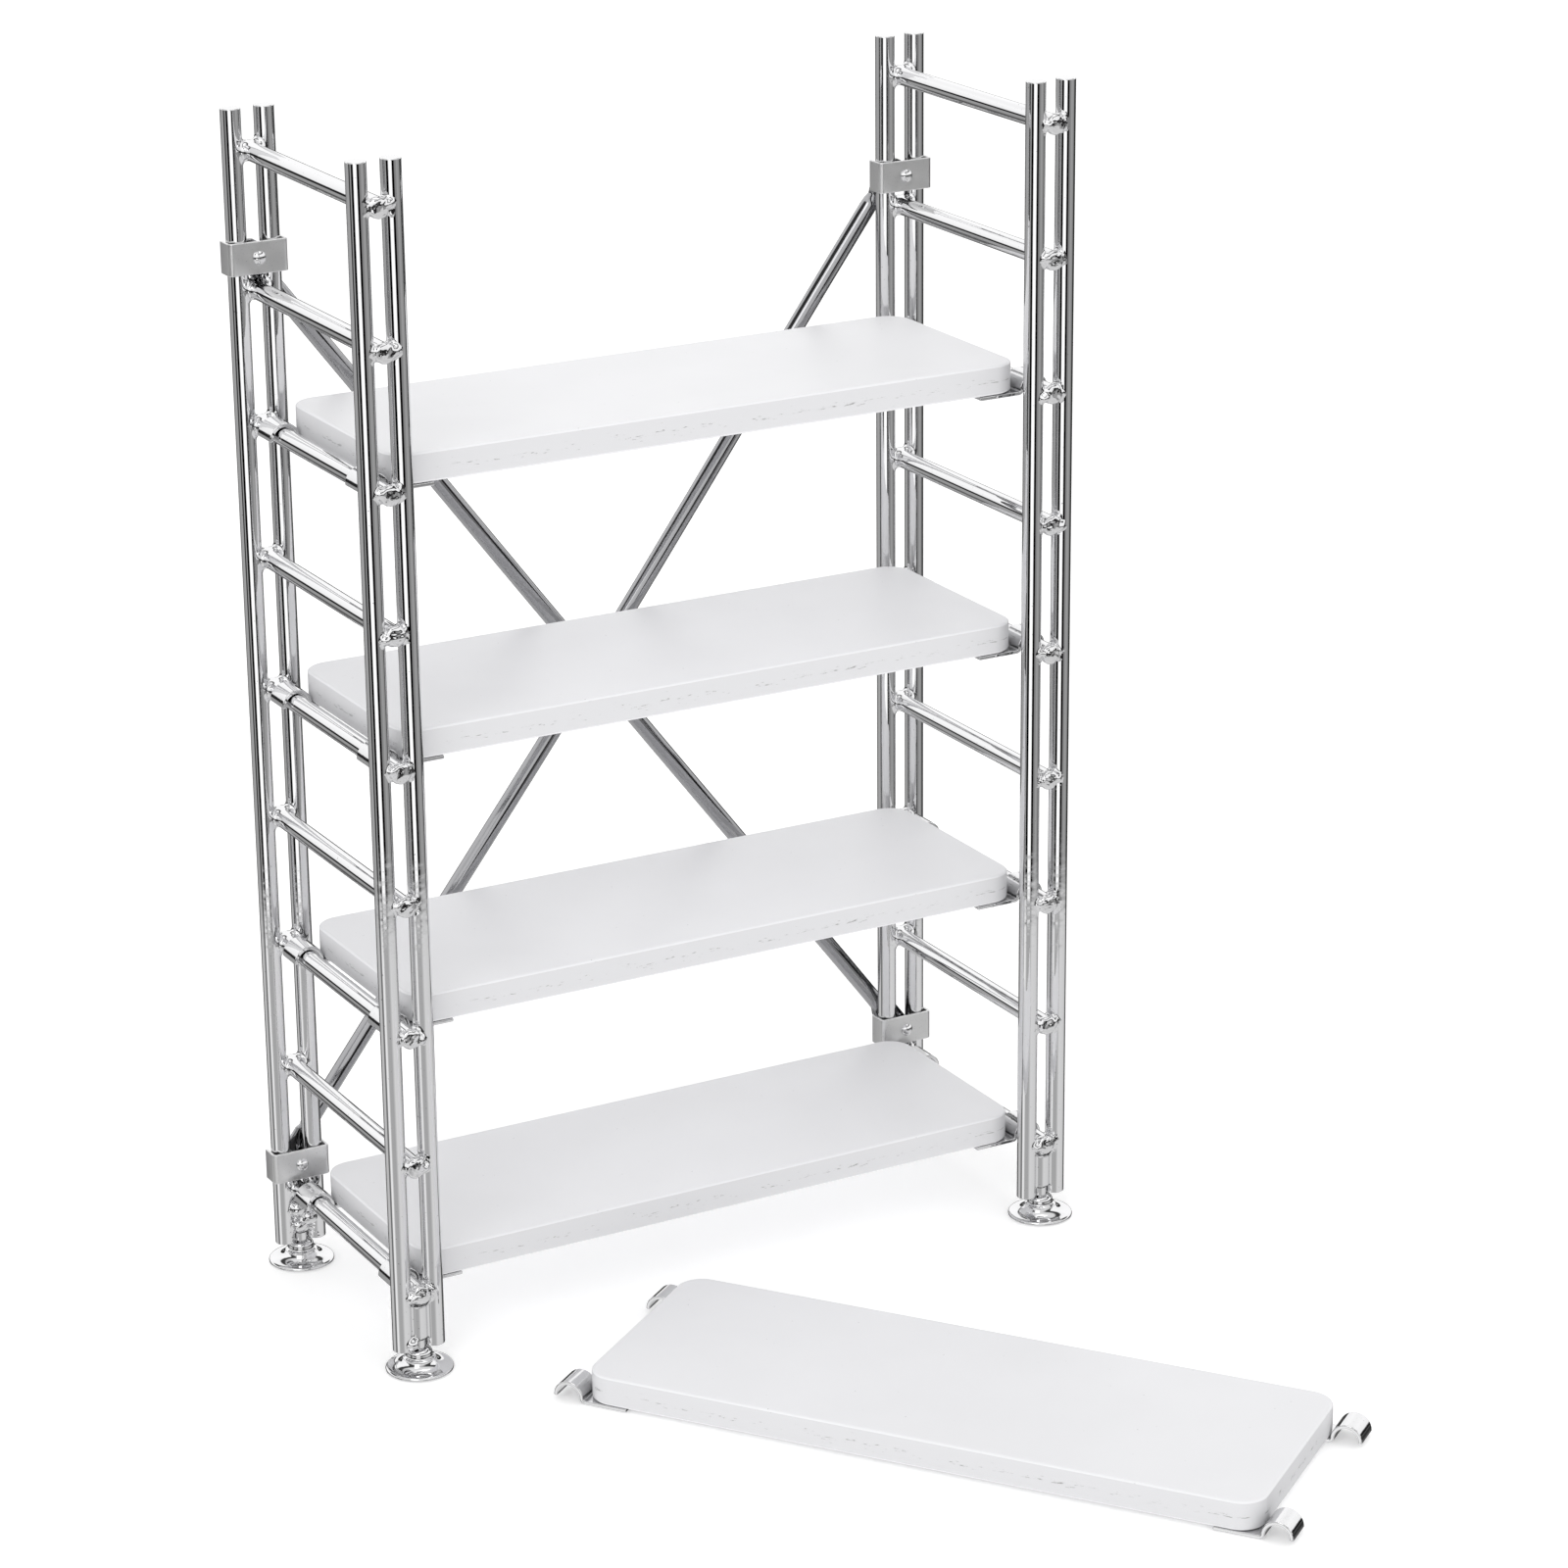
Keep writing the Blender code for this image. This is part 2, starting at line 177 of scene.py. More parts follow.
def addNode(tree, kind, settings=None, links=None):
    node = tree.nodes.new(kind)
    for name, value in (settings or {}).items():
        setattr(node, name, value)
    for name, value in (links or {}).items():
        if isinstance(value, bpy.types.NodeSocket):
            tree.links.new(value, node.inputs[name])
        else:
            node.inputs[name].default_value = value
    return node


def newMaterial(name):
    material = bpy.data.materials.new(name)
    material.use_nodes = True
    material.node_tree.nodes.clear()
    return material, material.node_tree


def chromeFinish(name, look):
    material, tree = newMaterial(name)
    place = addNode(tree, "ShaderNodeTexCoord").outputs["Object"]
    ripple = addNode(tree, "ShaderNodeTexNoise", None, {  # the plating's slow orange peel
        "Vector": place, "Scale": 1 / (look["rippleMm"] * mm), "Detail": 2.0, "Roughness": 0.5})
    cloud = addNode(tree, "ShaderNodeTexNoise", None, {  # haze that comes and goes
        "Vector": place, "Scale": 1 / (look["hazeMm"] * mm), "Detail": 3.0})
    grit = addNode(tree, "ShaderNodeTexNoise", None, {  # pits and grains under the plating
        "Vector": place, "Scale": 1 / (look["gritMm"] * mm), "Detail": 3.0, "Roughness": 0.6})
    speck = addNode(tree, "ShaderNodeMapRange", None, {
        "Value": grit.outputs["Fac"], "From Min": look["speckFrom"], "From Max": look["speckFrom"] + 0.05})
    base = addNode(tree, "ShaderNodeMix", {"data_type": "RGBA"}, {
        0: speck.outputs["Result"], 6: linearOf(look["colour"]), 7: linearOf(look["speckColour"])})
    haze = addNode(tree, "ShaderNodeMapRange", None, {
        "Value": cloud.outputs["Fac"], "From Min": 0.35, "From Max": 0.7,
        "To Min": look["roughness"], "To Max": look["hazed"]})
    dull = addNode(tree, "ShaderNodeMath", {"operation": "MULTIPLY_ADD"}, {
        0: speck.outputs["Result"], 1: 0.25, 2: haze.outputs["Result"]})
    wave = addNode(tree, "ShaderNodeBump", None, {
        "Height": ripple.outputs["Fac"], "Distance": look["rippleHeightMm"] * mm, "Strength": 1.0})
    pits = addNode(tree, "ShaderNodeBump", None, {
        "Height": grit.outputs["Fac"], "Distance": look["gritHeightMm"] * mm, "Strength": 1.0,
        "Normal": wave.outputs["Normal"]})
    shader = addNode(tree, "ShaderNodeBsdfPrincipled", None, {
        "Base Color": base.outputs[2], "Metallic": 1.0, "Roughness": dull.outputs[0],
        "Normal": pits.outputs["Normal"]})
    addNode(tree, "ShaderNodeOutputMaterial", None, {"Surface": shader.outputs[0]})
    return material


# Bright chrome plate on drawn steel rod: a sharp mirror, whose streaks waver a little
platedRodLook = {
    "colour": "#DEDEDF", "speckColour": "#5A5A5A", "roughness": 0.015, "hazed": 0.05,
    "rippleMm": 7.0, "rippleHeightMm": 0.028, "hazeMm": 14.0,
    "gritMm": 0.9, "gritHeightMm": 0.0016, "speckFrom": 0.69,
}
# Chrome plate over brazing metal: the same mirror on a lumpy skin, so it breaks up into spots
platedBrazeLook = {
    "colour": "#DCDCDD", "speckColour": "#4A4A4A", "roughness": 0.03, "hazed": 0.10,
    "rippleMm": 2.0, "rippleHeightMm": 0.07, "hazeMm": 5.0,
    "gritMm": 0.6, "gritHeightMm": 0.006, "speckFrom": 0.68,
}
# Chrome plate on bent strip: a softer mirror, from the strip's rolled face
platedStripLook = {
    "colour": "#DCDCDD", "speckColour": "#6A6A6A", "roughness": 0.04, "hazed": 0.12,
    "rippleMm": 3.5, "rippleHeightMm": 0.03, "hazeMm": 6.0,
    "gritMm": 0.5, "gritHeightMm": 0.004, "speckFrom": 0.68,
}
# Chrome plate on stamped sheet that wasn't polished: a satin face that spreads the light
platedSheetLook = {
    "colour": "#E6E6E6", "speckColour": "#9A9A9A", "roughness": 0.30, "hazed": 0.38,
    "rippleMm": 4.0, "rippleHeightMm": 0.04, "hazeMm": 5.0,
    "gritMm": 0.4, "gritHeightMm": 0.006, "speckFrom": 0.66,
}
# Thin chrome plate on bar: darker and duller than the posts
platedBarLook = {
    "colour": "#9E9EA0", "speckColour": "#3E3E3E", "roughness": 0.05, "hazed": 0.12,
    "rippleMm": 8.0, "rippleHeightMm": 0.03, "hazeMm": 12.0,
    "gritMm": 0.7, "gritHeightMm": 0.006, "speckFrom": 0.69,
}
# Chrome plate on turned steel: bright, with rings left by the lathe too fine to see
platedTurningLook = {
    "colour": "#DEDEDF", "speckColour": "#505050", "roughness": 0.02, "hazed": 0.06,
    "rippleMm": 5.0, "rippleHeightMm": 0.015, "hazeMm": 8.0,
    "gritMm": 0.6, "gritHeightMm": 0.001, "speckFrom": 0.71,
}
platedRod = chromeFinish("chrome_plated_rod", platedRodLook)
platedBraze = chromeFinish("chrome_plated_braze", platedBrazeLook)
platedStrip = chromeFinish("chrome_plated_strip", platedStripLook)
platedSheet = chromeFinish("chrome_plated_sheet", platedSheetLook)
platedBar = chromeFinish("chrome_plated_bar", platedBarLook)
platedTurning = chromeFinish("chrome_plated_turning", platedTurningLook)

# White lacquer sprayed on fibreboard: smooth and satin on the faces, while the sawn edges keep rows of
# small pits and scuffs that the lacquer didn't fill
lacquerLook = {
    # the edge colour is painted shade: a darker tint on the sawn edges, standing in for the edges catching
    # less light than the faces
    "colour": "#ECECEE", "shade": "#E7E7E9", "paintedEdgeShade": "#D8D8DA", "pitColour": "#9C9C9C",
    "roughness": 0.42, "glossier": 0.34,
    "stippleMm": 0.7, "stippleHeightMm": 0.004, "pitLengthMm": 5.0, "pitHeightMm": 0.7, "pitDepthMm": 0.05,
    "rowAt": 0.46, "rowWidth": 0.20, "cloudMm": 40, "dustMm": 1.3,
}


def lacquerFinish(name, look, thickness):
    material, tree = newMaterial(name)
    place = addNode(tree, "ShaderNodeTexCoord").outputs["Object"]
    apart = addNode(tree, "ShaderNodeSeparateXYZ", None, {0: place})
    facing = addNode(tree, "ShaderNodeSeparateXYZ", None, {
        0: addNode(tree, "ShaderNodeTexCoord").outputs["Normal"]})
    upright = addNode(tree, "ShaderNodeMath", {"operation": "ABSOLUTE"}, {0: facing.outputs["Z"]})
    onEdge = addNode(tree, "ShaderNodeMapRange", None, {
        "Value": upright.outputs[0], "From Min": 0.35, "From Max": 0.15})
    stretched = addNode(tree, "ShaderNodeMapping", None, {
        "Vector": place, "Scale": (1 / (look["pitLengthMm"] * mm), 1 / (look["pitLengthMm"] * mm),
                                   1 / (look["pitHeightMm"] * mm))})
    fibre = addNode(tree, "ShaderNodeTexNoise", None, {
        "Vector": stretched.outputs[0], "Scale": 1.0, "Detail": 4.0, "Roughness": 0.7})
    height = addNode(tree, "ShaderNodeMath", {"operation": "DIVIDE"}, {
        0: apart.outputs["Z"], 1: thickness})
    offRow = addNode(tree, "ShaderNodeMath", {"operation": "SUBTRACT"}, {
        0: height.outputs[0], 1: look["rowAt"]})
    offRow = addNode(tree, "ShaderNodeMath", {"operation": "ABSOLUTE"}, {0: offRow.outputs[0]})
    inRow = addNode(tree, "ShaderNodeMapRange", None, {
        "Value": offRow.outputs[0], "From Min": look["rowWidth"], "From Max": 0.0})
    need = addNode(tree, "ShaderNodeMapRange", None, {  # far from the row only the strongest fibres show
        "Value": inRow.outputs["Result"], "To Min": 0.70, "To Max": 0.575})
    over = addNode(tree, "ShaderNodeMath", {"operation": "SUBTRACT"}, {
        0: fibre.outputs["Fac"], 1: need.outputs["Result"]})
    pit = addNode(tree, "ShaderNodeMapRange", None, {
        "Value": over.outputs[0], "From Min": 0.0, "From Max": 0.05})
    pit = addNode(tree, "ShaderNodeMath", {"operation": "MULTIPLY"}, {
        0: pit.outputs["Result"], 1: onEdge.outputs["Result"]})
    cloud = addNode(tree, "ShaderNodeTexNoise", None, {
        "Vector": place, "Scale": 1 / (look["cloudMm"] * mm), "Detail": 2.0})
    stipple = addNode(tree, "ShaderNodeTexNoise", None, {
        "Vector": place, "Scale": 1 / (look["stippleMm"] * mm), "Detail": 2.0})
    dust = addNode(tree, "ShaderNodeTexNoise", None, {
        "Vector": place, "Scale": 1 / (look["dustMm"] * mm), "Detail": 1.0})
    dust = addNode(tree, "ShaderNodeMapRange", None, {  # a rare grain of dust in the lacquer
        "Value": dust.outputs["Fac"], "From Min": 0.795, "From Max": 0.83, "To Max": 0.6})
    marks = addNode(tree, "ShaderNodeMath", {"operation": "MAXIMUM"}, {
        0: pit.outputs[0], 1: dust.outputs["Result"]})
    tone = addNode(tree, "ShaderNodeMix", {"data_type": "RGBA"}, {
        0: cloud.outputs["Fac"], 6: linearOf(look["colour"]), 7: linearOf(look["shade"])})
    tone = addNode(tree, "ShaderNodeMix", {"data_type": "RGBA"}, {  # painted shade: the sawn edges get a darker colour that stands in for the shading the light gives them
        0: onEdge.outputs["Result"], 6: tone.outputs[2], 7: linearOf(look["paintedEdgeShade"])})
    base = addNode(tree, "ShaderNodeMix", {"data_type": "RGBA"}, {
        0: marks.outputs[0], 6: tone.outputs[2], 7: linearOf(look["pitColour"])})
    gloss = addNode(tree, "ShaderNodeMapRange", None, {
        "Value": cloud.outputs["Fac"], "To Min": look["glossier"], "To Max": look["roughness"]})
    skin = addNode(tree, "ShaderNodeBump", None, {
        "Height": stipple.outputs["Fac"], "Distance": look["stippleHeightMm"] * mm, "Strength": 1.0})
    dents = addNode(tree, "ShaderNodeBump", {"invert": True}, {
        "Height": pit.outputs[0], "Distance": look["pitDepthMm"] * mm, "Strength": 1.0,
        "Normal": skin.outputs["Normal"]})
    shader = addNode(tree, "ShaderNodeBsdfPrincipled", None, {
        "Base Color": base.outputs[2], "Roughness": gloss.outputs["Result"], "IOR": 1.5,
        "Normal": dents.outputs["Normal"]})
    addNode(tree, "ShaderNodeOutputMaterial", None, {"Surface": shader.outputs[0]})
    return material


boardThickness = 12 * mm
whiteLacquer = lacquerFinish("white_lacquered_fibreboard", lacquerLook, boardThickness)
print("materials made")

# Posts: two rods side by side, cut square, with their rims eased by a file
postLook = {"radius": 4.0 * mm, "ease": 0.35 * mm}
rodRadius = postLook["radius"]


def postAt(side, end):
    low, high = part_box(f"{side}_{end}_rail")
    return Vector(((low.x + high.x) / 2, (low.y + high.y) / 2, low.z)), high.z - low.z


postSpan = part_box("left_front_rail")
rodOffset = (postSpan[1].x - postSpan[0].x) / 2 - rodRadius
for side in sides:
    for end in ends:
        foot, height = postAt(side, end)
        outline = barOutline(rodRadius, height, postLook["ease"])
        rods = [turned(foot + xAxis * shift, zAxis, outline) for shift in (-rodOffset, rodOffset)]
        addPiece(f"{side}_{end}_post", loft("post", *rods), "rack", platedRod,
                 [f"{side}_{end}_rail"])

# Rungs: rods that run between the two rods of each post, and stand out a little at the front
rungLook = {"radius": 3.75 * mm, "ease": 0.5 * mm, "setBack": 0.8 * mm}
rungNumbers = range(1, 10)
for side in sides:
    for number in rungNumbers:
        low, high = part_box(f"{side}_rung_{number}")
        start = Vector(((low.x + high.x) / 2, low.y + rungLook["setBack"], (low.z + high.z) / 2))
        outline = barOutline(rungLook["radius"], high.y - start.y, rungLook["ease"])
        addPiece(f"{side}_rung_bar_{number}", loft("rung", turned(start, yAxis, outline)), "rack",
                 platedRod, [f"{side}_rung_{number}"])

# Braze: metal that ran into the corners between rods and rungs, and stands as lumps at the front ends
brazeLook = {"stepMm": 0.55, "frontBlendMm": 1.7, "rearBlendMm": 3.6, "rearWaveMm": 0.03, "tuckMm": 0.06}
rod, offset, rungRadius = rodRadius / mm, rodOffset / mm, rungLook["radius"] / mm


def blended(a, b, blend):  # the smaller of two distances, rounded where they meet
    h = np.maximum(blend - np.abs(a - b), 0) / blend
    return np.minimum(a, b) - h * h * blend / 4


def lumps(seed, sizeMm):  # a smooth random field of about -1 to 1
    draw = np.random.default_rng(seed)
    waves = draw.normal(size=(9, 3))
    waves *= (2 * math.pi / sizeMm * draw.uniform(0.7, 1.6, 9) / np.linalg.norm(waves, axis=1))[:, None]
    phases = draw.uniform(0, 2 * math.pi, 9)
    return lambda x, y, z: sum(np.sin(w[0] * x + w[1] * y + w[2] * z + p) for w, p in zip(waves, phases)) / 4


def ballDistance(x, y, z, centre, radii):
    size = np.sqrt(((x - centre[0]) / radii[0]) ** 2 + ((y - centre[1]) / radii[1]) ** 2
                   + ((z - centre[2]) / radii[2]) ** 2)
    return (size - 1) * min(radii)


def twinRods(x, y):
    return np.minimum(np.hypot(x - offset, y) - rod, np.hypot(x + offset, y) - rod)


def brazePiece(name, centre, field, reach, material):  # field takes millimetres from centre
    def within(x, y, z):
        edge = np.maximum(np.maximum(np.abs(x) - reach[0], np.abs(z) - reach[2]), np.abs(y) - reach[1])
        return np.maximum(field(x, y, z), edge)
    pad = 1.1
    mesh = skinOf(name, within, [-r - pad for r in reach], [r + pad for r in reach], brazeLook["stepMm"])
    mesh.transform(Matrix.Translation(centre) @ Matrix.Diagonal((mm, mm, mm, 1)))
    return addPiece(name, mesh, "rack", material, sharp=None)


def frontBraze(seed):
    draw = np.random.default_rng(seed)
    big, small = lumps(seed + 100, 4.5), lumps(seed + 200, 1.8)
    headShift = draw.uniform(-0.35, 0.35, 2)
    headSize = draw.uniform(3.7, 4.3, 2)
    beadSide = draw.choice((-1, 1))
    bead = (beadSide * draw.uniform(3.6, 4.4), draw.uniform(-4.4, -3.6), draw.uniform(-1.5, 1.5))
    beadSize = draw.uniform(1.3, 2.0)

    def field(x, y, z):
        tip = np.maximum(np.hypot(x, z) - rungRadius + 0.9, 0)
        back = np.maximum(-4.9 + 0.9 - y, 0)
        inside = np.minimum(np.maximum(np.hypot(x, z) - rungRadius + 0.9, -4.0 - y), 0)
        rung = np.hypot(tip, back) + inside - 0.9
        head = ballDistance(x, y, z, (headShift[0], -3.7, headShift[1]), (headSize[0], 1.9, headSize[1]))
        lump = ballDistance(x, y, z, bead, (beadSize,) * 3)
        near = np.exp(-((x / 5.5) ** 2 + ((y + 3.5) / 3.5) ** 2 + (z / 5.5) ** 2))
        solid = blended(blended(rung, head, 1.0), lump, 1.0)
        solid = blended(twinRods(x, y) + brazeLook["tuckMm"], solid + 0.10 * (1 - near),
                        brazeLook["frontBlendMm"])
        return solid + near * (0.22 * big(x, y, z) + 0.09 * small(x, y, z))
    return field


def rearBraze(seed):
    big = lumps(seed + 300, 6.0)

    def field(x, y, z):
        near = np.exp(-((x / 6) ** 2 + (y / 5) ** 2 + (z / 6) ** 2))
        rung = np.maximum(np.hypot(x, z) - rungRadius, y - 3.2) + brazeLook["tuckMm"]
        solid = blended(twinRods(x, y) + brazeLook["tuckMm"], rung, brazeLook["rearBlendMm"])
        return solid + near * brazeLook["rearWaveMm"] * big(x, y, z)
    return field


for side in sides:
    for number in rungNumbers:
        low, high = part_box(f"{side}_rung_{number}")
        for end in ends:
            post = postAt(side, end)[0]
            seed = number * 4 + (side == "right") * 2 + (end == "rear")
            field = frontBraze(seed) if end == "front" else rearBraze(seed)
            reach = (offset + rod + 0.3, 6.2, 9.5) if end == "front" else (offset + rod + 0.3, 8.5, 11.0)
            centre = Vector((post.x, post.y, (low.z + high.z) / 2))
            brazePiece(f"{side}_{end}_braze_{number}", centre, field, reach,
                       platedBraze if end == "front" else platedRod)
print("end frames made")

# Feet: a turned pad, domed to a stepped hub, on a stud that screws into a socket between the rods
footOutline = [  # radius and height, in millimetres
    (0.4, 0.0), (12.4, 0.0), (13.1, 0.05), (13.4, 0.3), (13.5, 0.7), (13.4, 1.1), (13.1, 1.4), (12.5, 1.55),
    (11.6, 1.62), (10.6, 1.74), (9.6, 2.0), (8.6, 2.45), (7.8, 3.0), (7.2, 3.7), (6.8, 4.3), (6.5, 4.55),
    (6.5, 5.0), (6.2, 5.3), (5.5, 5.5), (5.2, 5.9), (5.15, 6.8), (5.2, 7.4), (4.9, 8.1), (4.2, 8.7),
    (3.2, 9.0), (2.65, 9.3), (2.6, 12.7), (2.2, 12.9), (2.2, 25.2), (1.7, 25.8), (0.3, 25.8)]
socketOutline = [  # from the end of the bore, down it, and up the outside
    (0.3, 26.2), (2.45, 26.2), (2.45, 14.2), (2.7, 13.85), (3.4, 13.82), (3.75, 13.95), (3.9, 14.3),
    (3.9, 27.3), (3.7, 27.7), (3.3, 27.8), (0.3, 27.8)]
socketMiddle = 20.8
lumpyFeet = {  # where metal was piled up round a socket: x, y and height from its middle, and size
    ("left", "rear"): [(-2.4, -4.4, 4.0, 3.2), (2.2, -4.6, -0.5, 3.5), (-2.0, -4.4, -3.6, 2.8),
                       (3.6, -3.6, 6.0, 2.2)],
    ("left", "front"): [(-4.0, -3.6, -8.6, 2.2)],
    ("right", "front"): [],
    ("right", "rear"): [(1.0, -4.0, 3.0, 2.6)]}


def footBraze(seed, piled):
    big, small = lumps(seed + 500, 5.0), lumps(seed + 600, 2.0)

    def field(x, y, z):
        socket = np.maximum(np.hypot(x, y) - 3.9, np.abs(z) - 6.9)
        solid = blended(twinRods(x, y), socket, 1.8) + brazeLook["tuckMm"]
        for bx, by, bz, size in piled:
            solid = blended(solid, ballDistance(x, y, z, (bx, by, bz), (size, size * 0.8, size)), 1.4)
        near = np.exp(-((x / 6) ** 2 + ((y + 2) / 5) ** 2)) * (0.22 if len(piled) > 1 else 0.0)
        return np.maximum(solid + near * (big(x, y, z) + 0.5 * small(x, y, z)), 2.6 - np.hypot(x, y))
    return field


for side in sides:
    for end in ends:
        post = postAt(side, end)[0]
        base = Vector((post.x, post.y, 0))
        mesh = loft("foot", turned(base, zAxis, [(r * mm, h * mm) for r, h in footOutline], 64))
        addPiece(f"{side}_{end}_screw_foot", mesh, f"{side}_{end}_foot", platedTurning,
                 [f"{side}_{end}_foot"])
        mesh = loft("socket", turned(base, zAxis, [(r * mm, h * mm) for r, h in socketOutline], 40))
        addPiece(f"{side}_{end}_socket", mesh, "rack", platedRod)
        piled = lumpyFeet[side, end]
        brazePiece(f"{side}_{end}_socket_braze", base + zAxis * socketMiddle * mm,
                   footBraze(len(side) + len(end), piled), (offset + rod + 0.3, 8.5, 11.0),
                   platedBraze if len(piled) > 1 else platedRod)
print("feet made")

# Clips: a folded plate over the front of each rear post, and a rivet through it
clipLook = {"height": 12.8, "depth": 9.1, "thickness": 1.2, "fold": 1.5, "ease": 0.35}
rivetOutline = [  # radius and distance back from the tip of the head, in millimetres
    (0.2, 0.0), (0.8, 0.06), (1.5, 0.26), (2.1, 0.62), (2.55, 1.1), (2.75, 1.5), (2.8, 1.8), (2.7, 1.95),
    (2.0, 2.0), (2.0, 16.6), (3.4, 16.6), (3.5, 16.9), (3.4, 17.6), (3.0, 17.95), (0.3, 18.0)]


def foldedPath(half, depth, fold):  # the middle of the plate's thickness, from one leg's end to the other's
    points = [(-half, depth), (-half, depth * 0.5)]
    for angle in np.linspace(0, math.pi / 2, 7):
        points.append((-half + fold - fold * math.cos(angle), fold - fold * math.sin(angle)))
    return points + [(-x, y) for x, y in reversed(points)]


def swept(path, place, width, thickness, ease, endEase=0.6):
    # A strip whose middle follows path in a plane, with eased edges and ends; place turns its points into 3-D
    section = roundedBox(thickness, width, ease)
    rings, last = [], len(path) - 1
    for i, point in enumerate(path):
        here, before, after = (Vector(p) for p in (point, path[max(i - 1, 0)], path[min(i + 1, last)]))
        first, second = (here - before), (after - here)
        along = (first.normalized() + second.normalized()).normalized()
        stretch = 1.0
        if 0 < i < last:
            stretch = 1 / max(math.cos(first.angle(second) / 2), 0.5)
        normal = Vector((-along.y, along.x)) * stretch
        rings.append([place(here.x + normal.x * a, here.y + normal.y * a, b) for a, b in section])
        if i in (0, last):
            outer = Vector(here) - along * (ease if i == 0 else -ease)
            small = [(a * (1 - 2 * ease / thickness * endEase), b * (1 - 2 * ease / width * endEase))
                     for a, b in section]
            cap = [place(outer.x + normal.x * a, outer.y + normal.y * a, b) for a, b in small]
            rings.insert(0, cap) if i == 0 else rings.append(cap)
    return rings


for side in sides:
    for level in ("upper", "lower"):
        low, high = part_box(f"{side}_{level}_clip")
        post = postAt(side, "rear")[0]
        z = (low.z + high.z) / 2
        half = (high.x - low.x) / 2 - clipLook["thickness"] * mm / 2
        front = post.y - rodRadius - gap - clipLook["thickness"] * mm / 2
        path = foldedPath(half, (clipLook["depth"] - clipLook["thickness"] / 2) * mm - clipLook["ease"] * mm,
                          clipLook["fold"] * mm)
        rings = swept(path, lambda u, v, w: Vector((post.x + u, front + v, z + w)),
                      clipLook["height"] * mm, clipLook["thickness"] * mm, clipLook["ease"] * mm)
        addPiece(f"{side}_{level}_clip_plate", loft("clip", rings), "rack", platedSheet,
                 [f"{side}_{level}_clip"])
        rivet = turned((post.x, low.y, z), yAxis, [(r * mm, d * mm) for r, d in rivetOutline], 32)
        addPiece(f"{side}_{level}_rivet", loft("rivet", rivet), "rack", platedStrip)
print("clips made")

# Braces: a bar from an upper clip down to the opposite lower one, flattened to a lug round each rivet
braceLook = {"radius": 3.5, "lugWidth": 5.4, "lugThickness": 1.0, "lugEnd": 11.2, "shoulder": 13.0,
             "roundFrom": 17.0, "bow": 3.65}
rearPost = postAt("left", "rear")[0]
postBack = rearPost.y + rodRadius + gap
clipHeights = {}
for level in ("upper", "lower"):
    low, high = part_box(f"left_{level}_clip")
    clipHeights[level] = (low.z + high.z) / 2


def braceMesh(direction, bow):
    top = Vector((-direction * abs(rearPost.x), 0, clipHeights["upper"]))
    foot = Vector((direction * abs(rearPost.x), 0, clipHeights["lower"]))
    along = (foot - top).normalized()
    inPlane = Vector((along.z, 0, -along.x))
    length = (foot - top).length
    look = {k: v * mm for k, v in braceLook.items()}
    stations = [-5.35, -5.2, -4.8, -4.0, -2.8, -1.0, 2.0, 8.0, 11.2, 11.8, 12.4, 13.0, 14.0, 15.2, 17.0]
    distances = [s * mm for s in stations]
    middle = list(np.linspace(22 * mm, length - 22 * mm, 24))
    rings = []
    for distance in distances + middle + [length - d for d in reversed(distances)]:
        fromEnd = min(distance, length - distance)
        wide = look["lugWidth"]
        if fromEnd < 0:
            wide = math.sqrt(max(look["lugWidth"] ** 2 - fromEnd ** 2, 0)) + 0.1 * mm
        share = min(max((fromEnd - look["lugEnd"]) / (look["roundFrom"] - look["lugEnd"]), 0), 1)
        share = share * share * (3 - 2 * share)
        narrow = min(max((fromEnd - look["lugEnd"]) / (look["shoulder"] - look["lugEnd"]), 0), 1)
        wide += (look["radius"] * 1.12 - wide) * narrow
        wide += (look["radius"] - wide) * share
        thick = look["lugThickness"] + (look["radius"] - look["lugThickness"]) * math.sqrt(share)
        power = 0.35 + 0.65 * share  # squarer in the lug, round in the bar
        centreY = postBack + look["lugThickness"] + (look["radius"] - look["lugThickness"]) * share
        centreY += bow * math.sin(math.pi * distance / length) ** 2
        centre = top + along * distance
        centre.y = centreY
        outline = [(wide * math.copysign(abs(math.cos(a)) ** power, math.cos(a)),
                    thick * math.copysign(abs(math.sin(a)) ** power, math.sin(a)))
                   for a in (2 * math.pi * (i + 0.5) / 40 for i in range(40))]
        rings.append(ring(centre, inPlane, yAxis, outline))
    return loft("brace", rings)


for name, direction, sign in (("front_brace", -1, -1), ("rear_brace", 1, 1)):
    mesh = braceMesh(direction, sign * braceLook["bow"] * mm)
    addPiece(f"{name}_bar", mesh, "rack", platedBar, [name])
print("braces made")

# Shelves: a lacquered board on four hooks, whose arches drop over the rungs
shelfLook = {"length": 274.4, "width": 96.5, "corner": 10.5, "edge": 1.1, "hookWidth": 12.5, "strip": 1.5,
             "bore": 9.6, "rise": 1.0, "hookSpacing": 82.6, "tongue": 18.4, "frameSpacing": 288.0,
             "hookEase": 0.35}
looseTurn = math.radians(-53.2)


def boardMesh():
    edge, corner = shelfLook["edge"] * mm, shelfLook["corner"] * mm
    length, width = shelfLook["length"] * mm, shelfLook["width"] * mm
    steps = [(edge * 1.8, 0.0)]
    steps += [(edge - edge * math.sin(a), edge - edge * math.cos(a)) for a in np.linspace(0, math.pi / 2, 6)]
    levels = steps + [(inset, boardThickness - z) for inset, z in reversed(steps)]
    rings = []
    for inset, z in levels:
        outline = roundedBox(length - 2 * inset, width - 2 * inset, corner - inset, 10)
        rings.append(ring(zAxis * z, xAxis, yAxis, outline))
    return loft("board", rings)


